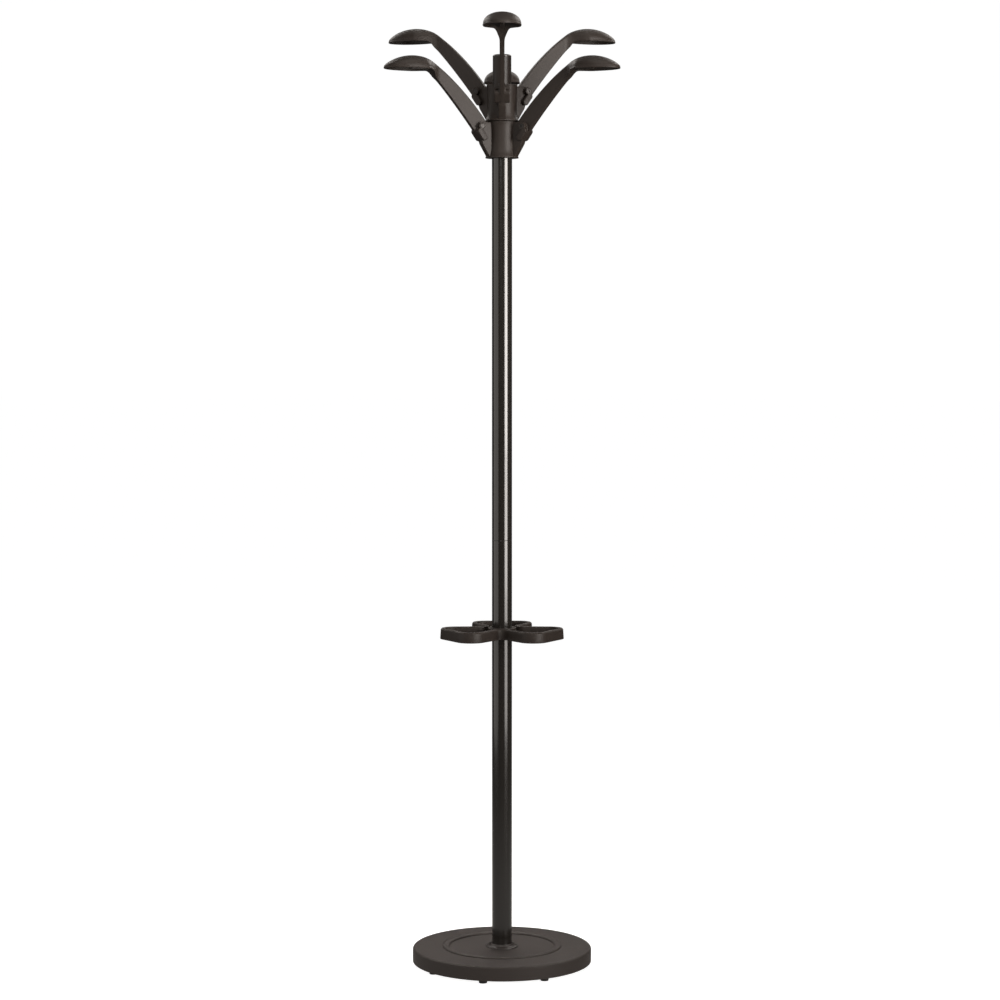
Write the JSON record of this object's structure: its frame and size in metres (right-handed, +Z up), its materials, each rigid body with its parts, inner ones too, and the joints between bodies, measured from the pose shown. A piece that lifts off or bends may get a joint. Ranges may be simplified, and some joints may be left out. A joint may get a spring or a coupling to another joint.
{
  "type": "standing coat rack",
  "caption": "Free-standing coat rack: weighted round base, black tube, looped umbrella holder and turning hubs with curved arms that end in oval caps.",
  "frame": {"origin": "centre of the base on the floor, on the axis of the tube", "axes": "+Z up along the tube; the front is -Y, where one upper arm points"},
  "size_m": [0.4336, 0.494, 1.7885],
  "materials": {
    "base_plastic": "matt fine-grained",
    "concrete": "cast",
    "zinc_steel": "zinc plated",
    "rubber": "matt",
    "gloss_black_lacquer": "gloss lacquer",
    "collar_plastic": "gloss",
    "bearing_plastic": "natural",
    "black_screw_steel": "black oxide",
    "satin_plastic": "satin"
  },
  "bodies": {
    "stand": {"base_cover": "base_plastic", "base_weight": "concrete", "base_plate": "zinc_steel", "plate_screws": "zinc_steel", "base_bolt": "zinc_steel", "base_washer": "zinc_steel", "tube_insert": "zinc_steel", "tube_coupler": "zinc_steel", "retaining_clip": "zinc_steel", "rubber_feet": "rubber", "lower_tube": "gloss_black_lacquer", "upper_tube": "gloss_black_lacquer", "head_post": "gloss_black_lacquer", "tube_collar": "collar_plastic", "post_plug": "collar_plastic", "thrust_washer": "bearing_plastic", "hub_bush": "bearing_plastic"},
    "lower_head": {"lower_hub": "satin_plastic", "lower_arm_screws": "black_screw_steel", "lower_arm_nuts": "black_screw_steel", "lower_arm_right": "satin_plastic", "lower_arm_left": "satin_plastic", "lower_arm_back": "satin_plastic"},
    "upper_head": {"upper_hub": "satin_plastic", "upper_arm_screws": "black_screw_steel", "upper_arm_nuts": "black_screw_steel", "upper_arm_front": "satin_plastic", "upper_arm_right": "satin_plastic", "upper_arm_left": "satin_plastic"},
    "umbrella_ring": {"umbrella_holder": "satin_plastic", "holder_screw": "black_screw_steel"}
  },
  "joints": [
    {"name": "lower_head_turn", "type": "hinge", "parent": "stand", "child": "lower_head", "pos_m": [0, 0, 1.5368], "axis": [0, 0, 1], "continuous": true},
    {"name": "upper_head_turn", "type": "hinge", "parent": "stand", "child": "upper_head", "pos_m": [0, 0, 1.6055], "axis": [0, 0, 1], "continuous": true},
    {"name": "holder_height", "type": "slide", "parent": "stand", "child": "umbrella_ring", "axis": [0, 0, 1], "range_m": [-0.2, 0.15]}
  ]
}
